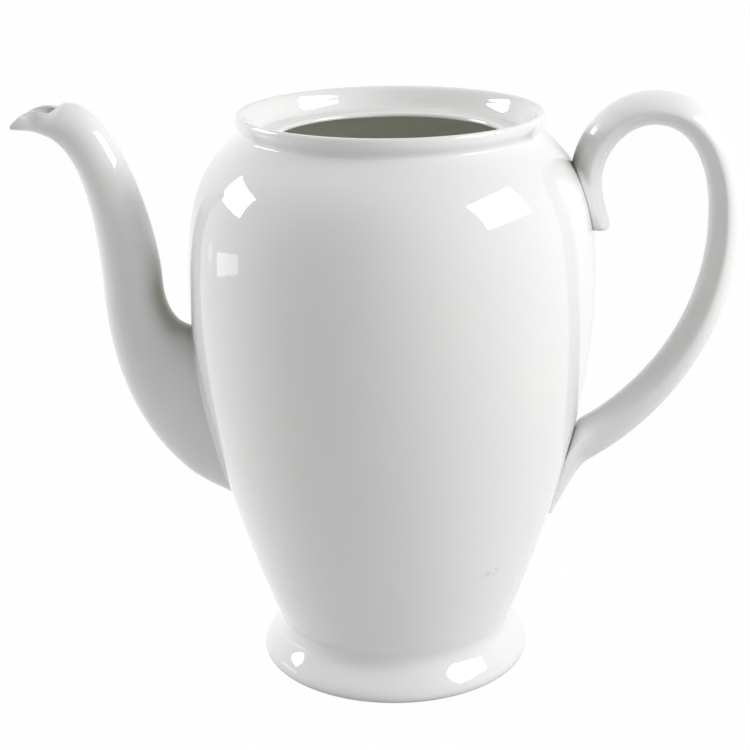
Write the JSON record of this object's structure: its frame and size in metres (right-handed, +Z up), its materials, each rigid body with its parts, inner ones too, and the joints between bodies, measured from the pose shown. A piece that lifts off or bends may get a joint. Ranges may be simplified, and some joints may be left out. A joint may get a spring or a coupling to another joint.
{
  "type": "coffee pot",
  "caption": "Open footed coffee pot in white glazed porcelain, with an S-curved spout, a strap handle and a lid ledge inside its mouth.",
  "frame": {"origin": "on the pot's axis in the table plane, where the recess inside the foot ring opens", "axes": "+Z up along the pot's axis, +X towards the handle, -X towards the spout"},
  "size_m": [0.2165, 0.1216, 0.1775],
  "materials": {
    "glaze": "gloss",
    "foot_glaze": "gloss with a bare matt ring underneath",
    "slip": "glazed over"
  },
  "bodies": {
    "root": {"body": "glaze", "rim": "glaze", "foot_ring": "foot_glaze", "spout": "glaze", "handle": "glaze", "spout_slip": "slip", "upper_slip": "slip", "lower_slip": "slip"}
  },
  "joints": []
}
